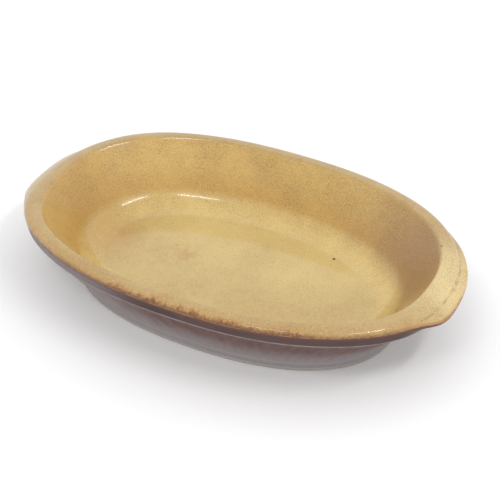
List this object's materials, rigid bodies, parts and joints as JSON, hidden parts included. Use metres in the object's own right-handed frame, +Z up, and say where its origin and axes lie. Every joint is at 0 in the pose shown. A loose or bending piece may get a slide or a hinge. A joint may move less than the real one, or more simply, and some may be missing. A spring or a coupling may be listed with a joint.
{
  "type": "gratin dish",
  "caption": "Oval stoneware gratin dish with a lug at each end, cream glaze inside and over the rim, dark brown outside, for baking and serving.",
  "frame": {"origin": "on the table plane under the foot, at the middle of the overall length and width", "axes": "+X along the dish towards the longer lug, +Y across it, +Z up"},
  "size_m": [0.2985, 0.1858, 0.0538],
  "materials": {
    "bare_stoneware": "bare fired stoneware, matte and slightly rough",
    "cream_glaze": "glossy warm cream glaze, finely crazed, browner on the rim's edge",
    "brown_glaze": "satin dark reddish brown glaze, greyer towards the foot"
  },
  "bodies": {
    "root": {"stoneware_body": "bare_stoneware", "right_lug": "bare_stoneware", "left_lug": "bare_stoneware", "liner_glaze": "cream_glaze", "outer_glaze": "brown_glaze"}
  },
  "joints": []
}
